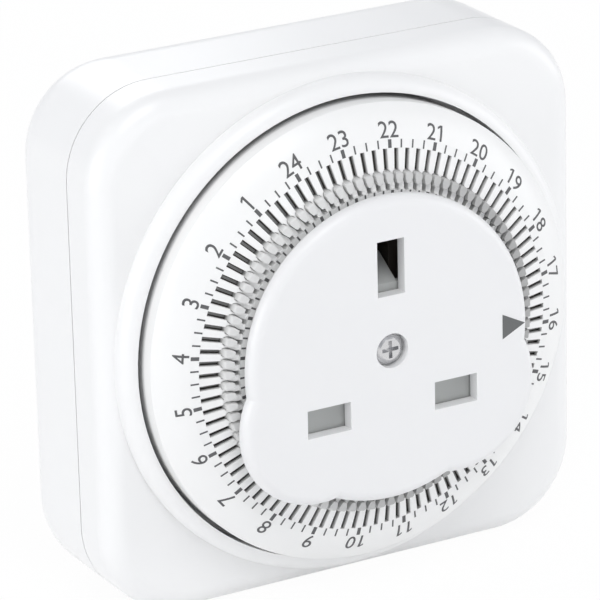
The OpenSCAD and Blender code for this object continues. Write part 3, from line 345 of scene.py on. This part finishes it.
# The tappets' material carries painted shadow, darker towards the lower right
shade_tappets(TAPPET_GREY, dark=(0.38, 0.38, 0.375))
SHUTTER_GREY = plastic("grey_shutter", (0.42, 0.43, 0.42), 0.45)
NATURAL = plastic("natural_nylon", (0.72, 0.69, 0.60), 0.45)
BLACK = plastic("black_plastic", (0.018, 0.018, 0.019), 0.38)
RED = plastic("red_plastic", (0.50, 0.03, 0.02), 0.35)
DARK_GREY = plastic("dark_grey_plastic", (0.10, 0.10, 0.105), 0.4)
BLUE_WIRE = plastic("blue_insulation", (0.05, 0.08, 0.34), 0.4)
DARK_BROWN = plastic("dark_brown_plastic", (0.022, 0.017, 0.013), 0.5)
BRASS = metal("bright_brass", (0.83, 0.62, 0.28), 0.24, grain=700, stretch=(1, 0.15, 1))
STEEL = metal("zinc_plated_steel", (0.66, 0.66, 0.67), 0.26)
LAMINATION = metal("laminated_steel", (0.42, 0.42, 0.43), 0.38, grain=1600, stretch=(0.05, 1, 0.05))
MAGNET = metal("ferrite", (0.10, 0.10, 0.11), 0.55)
COPPER = winding("copper_winding", (0.45, 0.15, 0.06))
INK = ink("dark_grey_ink", (0.105, 0.106, 0.108))
ARROW_INK = ink("mid_grey_ink", (0.125, 0.13, 0.13))

LOOK = {
    "shell": WHITE, "plate": PLATE_WHITE, "tappet": TAPPET_GREY, "shutter": SHUTTER_GREY,
    "inner_plastic": NATURAL, "carrier_plastic": DARK_BROWN, "dark_plastic": BLACK,
    "red_plastic": RED, "grey_plastic": DARK_GREY, "brass": BRASS, "steel": STEEL,
    "magnet": MAGNET, "winding": COPPER, "lead": BLUE_WIRE,
}
NODE_LOOK = {"dial_ring": DIAL_WHITE, "motor_core": LAMINATION}


def dress_nodes():
    """Every solid from the construction takes the procedural material of its slot."""
    slots = {s["node"]: s["material_slot"] for s in frame["record"]["subparts"]}
    for name, node in frame["nodes"].items():
        material = NODE_LOOK.get(name, LOOK[slots[name]])
        node.data.materials.clear()
        node.data.materials.append(material)


# ---- Print, slot floors and lines of painted shade ----

def mesh_piece(name, points, faces, material):
    mesh = bpy.data.meshes.new(name)
    mesh.from_pydata(points, [], faces)
    mesh.materials.append(material)
    mesh.validate()
    piece = bpy.data.objects.new(name, mesh)
    bpy.context.scene.collection.objects.link(piece)
    return piece


def outward(piece):
    """Turns the faces of a closed piece outwards."""
    edit = bmesh.new()
    edit.from_mesh(piece.data)
    bmesh.ops.recalc_face_normals(edit, faces=edit.faces)
    edit.to_mesh(piece.data)
    edit.free()


# Faces of a bar whose first four corners are its lower end and last four its upper end
BAR_FACES = ((0, 1, 2, 3), (7, 6, 5, 4), (0, 4, 5, 1), (1, 5, 6, 2), (2, 6, 7, 3), (3, 7, 4, 0))


def radial_bars(name, angles, r_in, r_out, strips, surface, lower, upper, material):
    """
    Radial bars on the dial, as one piece.

    Each strip is a pair of distances across, from one side of a bar to its other. The bars reach
    from lower to upper, measured from the surface, which is a function of the radius.
    """
    points, faces = [], []
    for angle in angles:
        along = Vector(polar(1, angle))
        across = Vector((-along.y, along.x))
        for left, right in strips:
            first = len(points)
            for rise in (lower, upper):
                for r, side in ((r_in, left), (r_out, left), (r_out, right), (r_in, right)):
                    spot = along * r + across * side
                    points.append(stood(spot.x, spot.y, surface(r) + rise))
            faces += [[first + i for i in ring] for ring in BAR_FACES]
    piece = mesh_piece(name, points, faces, material)
    outward(piece)
    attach(piece, "dial")


def hour_angle(hour):
    return DIAL_TURN + (hour - ARROW_HOUR) * 360 / HOURS


def print_scales():
    """The ticks beside the numerals and those on the inner ring."""
    on_hour = [hour_angle(h) for h in range(1, HOURS + 1)]
    between = [a + q * PITCH for a in on_hour for q in (1, 2, 3)]
    for name, angles, r_in, r_out, width, surface in (
            ("hour_ticks", on_hour, TICK_IN, TICK_OUT, HOUR_TICK_W, dial_height),
            ("quarter_ticks", between, TICK_IN, TICK_OUT, QUARTER_TICK_W, dial_height),
            ("ring_hour_ticks", on_hour, SCALE_IN, SCALE_OUT, SCALE_HOUR_W, ring_height),
            ("ring_quarter_ticks", between, SCALE_IN, SCALE_OUT, SCALE_QUARTER_W, ring_height)):
        radial_bars(name, angles, r_in, r_out, ((-width / 2, width / 2),), surface,
                    -PRINT_SINK, PRINT_T, INK)


def slot_floors():
    """The shallow floor of each slot, which takes the dial's painted shade, and a dark line of painted
    shade along both its sides.
    """
    angles = [DIAL_TURN + (slot + SLOT_PHASE) * PITCH for slot in range(QUARTERS)]
    half = SLOT_W / 2
    under = -(FLOOR_DEPTH + FLOOR_T)
    radial_bars("slot_floors", angles, SLOT_IN, SLOT_OUT, ((-half, half),), dial_height,
                under, -FLOOR_DEPTH, DIAL_WHITE)
    # Near-black strips of painted shade along both sides of each floor
    radial_bars("slot_corner_shade", angles, SLOT_IN, SLOT_OUT,
                ((-half, CORNER_W - half), (half - CORNER_W, half)), dial_height,
                under, CORNER_RISE - FLOOR_DEPTH, DARK_BROWN)


def cut_grid(edit, axis, step):
    """Cuts a flat outline at even steps along one axis, so that it can follow a curved surface."""
    low = min(v.co[axis] for v in edit.verts)
    high = max(v.co[axis] for v in edit.verts)
    normal = Vector((0, 0, 0))
    normal[axis] = 1
    place = low + step
    while place < high:
        spot = Vector((0, 0, 0))
        spot[axis] = place
        geometry = edit.verts[:] + edit.edges[:] + edit.faces[:]
        bmesh.ops.bisect_plane(edit, geom=geometry, plane_co=spot, plane_no=normal)
        place += step


def glyphs(edit):
    """The separate outlines of a text, from left to right."""
    left, groups = set(edit.verts), []
    while left:
        group, todo = [], [left.pop()]
        while todo:
            vert = todo.pop()
            group.append(vert)
            near = {edge.other_vert(vert) for edge in vert.link_edges} & left
            left -= near
            todo += near
        groups.append(group)
    return sorted(groups, key=lambda group: min(v.co.x for v in group))


def flag_ones(edit, body):
    """Gives every 1, which the font draws as a plain stroke, a short flag at its top."""
    for digit, group in zip(body, glyphs(edit)):
        if digit == "1":
            side = min(v.co.x for v in group)
            low, high = min(v.co.y for v in group), max(v.co.y for v in group)
            tall = high - low
            tip = side - FLAG_REACH * tall
            corners = [(side, high), (tip, high - FLAG_DROP * tall),
                       (tip, high - (FLAG_DROP + FLAG_T) * tall), (side, high - FLAG_T * tall)]
            edit.faces.new([edit.verts.new((x, y, 0)) for x, y in reversed(corners)])


def flat_text(name, body):
    """The outline mesh of a text, centred on its middle."""
    curve = bpy.data.curves.new(name, "FONT")
    curve.body = body
    curve.align_x = "CENTER"
    curve.align_y = "CENTER"
    curve.size = FONT_SIZE
    curve.space_character = FONT_SPACING
    curve.offset = FONT_WEIGHT
    curve.resolution_u = FONT_STEPS
    text = bpy.data.objects.new(name, curve)
    bpy.context.scene.collection.objects.link(text)
    bpy.context.view_layer.update()
    flat = bpy.data.meshes.new_from_object(text)
    bpy.data.objects.remove(text)
    return flat


def numeral(hour):
    """A printed hour number, bent onto the domed band with its top outwards."""
    name = f"numeral_{hour:02d}"
    flat = flat_text(name, str(hour))
    edit = bmesh.new()
    edit.from_mesh(flat)
    bmesh.ops.remove_doubles(edit, verts=edit.verts, dist=WELD)
    flag_ones(edit, str(hour))
    low = min(v.co.y for v in edit.verts)
    high = max(v.co.y for v in edit.verts)
    for v in edit.verts:
        up = (v.co.y - (high + low) / 2) * NUMBER_H / (high - low)
        v.co = Vector((v.co.x * NUMBER_STRETCH, up, 0))
    cut_grid(edit, 1, CUT_UP)
    cut_grid(edit, 0, CUT_ACROSS)
    grown = bmesh.ops.extrude_face_region(edit, geom=edit.faces[:])
    for item in grown["geom"]:
        if isinstance(item, bmesh.types.BMVert):
            item.co.z = -(PRINT_T + PRINT_SINK)
    for v in edit.verts:
        r = NUMBER_R + v.co.y
        x, y = polar(r, hour_angle(hour) - math.degrees(v.co.x / NUMBER_R))
        v.co = stood(x, y, dial_height(r) + PRINT_T + v.co.z)
    bmesh.ops.recalc_face_normals(edit, faces=edit.faces)
    edit.to_mesh(flat)
    edit.free()
    flat.materials.clear()
    flat.materials.append(INK)
    piece = bpy.data.objects.new(name, flat)
    bpy.context.scene.collection.objects.link(piece)
    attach(piece, "dial")


def arrow():
    """The printed time arrow on the plate."""
    count = len(ARROW)
    points = [stood(x, y, PLATE_FRONT - PRINT_SINK) for x, y in ARROW]
    points += [stood(x, y, PLATE_FRONT + PRINT_T) for x, y in ARROW]
    faces = [list(range(count)), list(range(2 * count - 1, count - 1, -1))]
    faces += [[i, (i + 1) % count, count + (i + 1) % count, count + i] for i in range(count)]
    piece = mesh_piece("time_arrow", points, faces, ARROW_INK)
    outward(piece)
    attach(piece, "case")


# ---- Stage, in metres ----

FLOOR_HALF = 6.0
FLOOR_TONE = 0.97
FLOOR_GLOW = 0.96       # share of plain white in what the camera, gloss and glass see of the floor
FILL_TINT = (0.93, 0.95, 1.0)
FILL = 0.54             # strength of the sky's fill light
LAMP_AIM = Vector((0, -0.02, 0))
LAMPS = (               # name, place, size, and power in watts
    ("key_top", (-0.15, -0.50, 0.80), 0.5, 2.95),
    ("left_soft", (-0.95, -0.15, 0.15), 0.6, 3.5),
    ("right_soft", (0.85, -0.40, 0.15), 0.6, 2.4),
    ("front_low", (0.15, -0.95, 0.03), 0.4, 0.85),
    ("back_soft", (0.2, 0.9, 0.6), 0.6, 2.8),
)


def stage_material():
    """Pale floor that the camera, gloss and glass see as near white, with the object's shadow kept."""
    material = bpy.data.materials.new("pale_floor")
    material.use_nodes = True
    nodes, links = material.node_tree.nodes, material.node_tree.links
    nodes.clear()
    out = nodes.new("ShaderNodeOutputMaterial")
    matt = nodes.new("ShaderNodeBsdfDiffuse")
    matt.inputs["Color"].default_value = (FLOOR_TONE, FLOOR_TONE, FLOOR_TONE, 1)
    glow = nodes.new("ShaderNodeEmission")
    glow.inputs["Color"].default_value = (1, 1, 1, 1)
    glow.inputs["Strength"].default_value = 1
    path = nodes.new("ShaderNodeLightPath").outputs
    seen = calculated(nodes, links, "MAXIMUM", path["Is Camera Ray"], path["Is Glossy Ray"])
    seen = calculated(nodes, links, "MAXIMUM", seen, path["Is Transmission Ray"])
    share = calculated(nodes, links, "MULTIPLY", seen, FLOOR_GLOW)
    mix = nodes.new("ShaderNodeMixShader")
    links.new(share, mix.inputs["Fac"])
    links.new(matt.outputs["BSDF"], mix.inputs[1])
    links.new(glow.outputs["Emission"], mix.inputs[2])
    links.new(mix.outputs["Shader"], out.inputs["Surface"])
    return material


def floor():
    sides = ((-1, -1), (1, -1), (1, 1), (-1, 1))
    corners = [(x * FLOOR_HALF, y * FLOOR_HALF, CASE_BOTTOM * MM) for x, y in sides]
    piece = mesh_piece("floor", corners, [[0, 1, 2, 3]], stage_material())


def world():
    """Plain white to the camera, and an even pale fill to everything else."""
    sky = bpy.data.worlds.new("studio")
    bpy.context.scene.world = sky
    sky.use_nodes = True
    nodes, links = sky.node_tree.nodes, sky.node_tree.links
    nodes.clear()
    out = nodes.new("ShaderNodeOutputWorld")
    fill = nodes.new("ShaderNodeBackground")
    fill.inputs["Color"].default_value = (*FILL_TINT, 1)
    fill.inputs["Strength"].default_value = FILL
    white = nodes.new("ShaderNodeBackground")
    white.inputs["Color"].default_value = (1, 1, 1, 1)
    white.inputs["Strength"].default_value = 1
    path = nodes.new("ShaderNodeLightPath")
    mix = nodes.new("ShaderNodeMixShader")
    links.new(path.outputs["Is Camera Ray"], mix.inputs["Fac"])
    links.new(fill.outputs["Background"], mix.inputs[1])
    links.new(white.outputs["Background"], mix.inputs[2])
    links.new(mix.outputs["Shader"], out.inputs["Surface"])


def lights():
    """Soft square area lamps, all aimed at the middle of the object."""
    for name, place, size, power in LAMPS:
        light = bpy.data.lights.new(name, "AREA")
        light.shape = "SQUARE"
        light.size = size
        light.energy = power
        piece = bpy.data.objects.new(name, light)
        piece.location = place
        aim = LAMP_AIM - Vector(place)
        piece.rotation_euler = aim.to_track_quat("-Z", "Y").to_euler()
        bpy.context.scene.collection.objects.link(piece)


# Camera fitted to the dial's ticks and the three apertures; lens and sensor in millimetres
CAMERA_AZIMUTH = -29.07
CAMERA_ELEVATION = 20.27
CAMERA_ROLL = -1.41
CAMERA_REACH = 0.6735
CAMERA_AIM = Vector((-0.01257, -0.0375, 0.00895))
CAMERA_LENS = 270.4
CAMERA_SENSOR = 36
CAMERA_NEAR, CAMERA_FAR = 0.01, 50


def camera():
    azimuth = math.radians(CAMERA_AZIMUTH)
    elevation = math.radians(CAMERA_ELEVATION)
    roll = math.radians(CAMERA_ROLL)
    ahead = Vector((-math.sin(azimuth) * math.cos(elevation),
                    math.cos(azimuth) * math.cos(elevation), -math.sin(elevation)))
    level = Vector((math.cos(azimuth), math.sin(azimuth), 0))
    rise = level.cross(ahead)
    right = math.cos(roll) * level + math.sin(roll) * rise
    up = -math.sin(roll) * level + math.cos(roll) * rise
    data = bpy.data.cameras.new("camera")
    data.lens = CAMERA_LENS
    data.sensor_width = CAMERA_SENSOR
    data.clip_start = CAMERA_NEAR
    data.clip_end = CAMERA_FAR
    eye = bpy.data.objects.new("camera", data)
    turn = Matrix((right, up, -ahead)).transposed()
    eye.matrix_world = Matrix.Translation(CAMERA_AIM - ahead * CAMERA_REACH) @ turn.to_4x4()
    bpy.context.scene.collection.objects.link(eye)
    bpy.context.scene.camera = eye


camera()
world()
lights()
floor()
dress_nodes()
print_scales()
slot_floors()
for hour in range(1, HOURS + 1):
    numeral(hour)
arrow()
bpy.context.scene.view_settings.view_transform = "Standard"
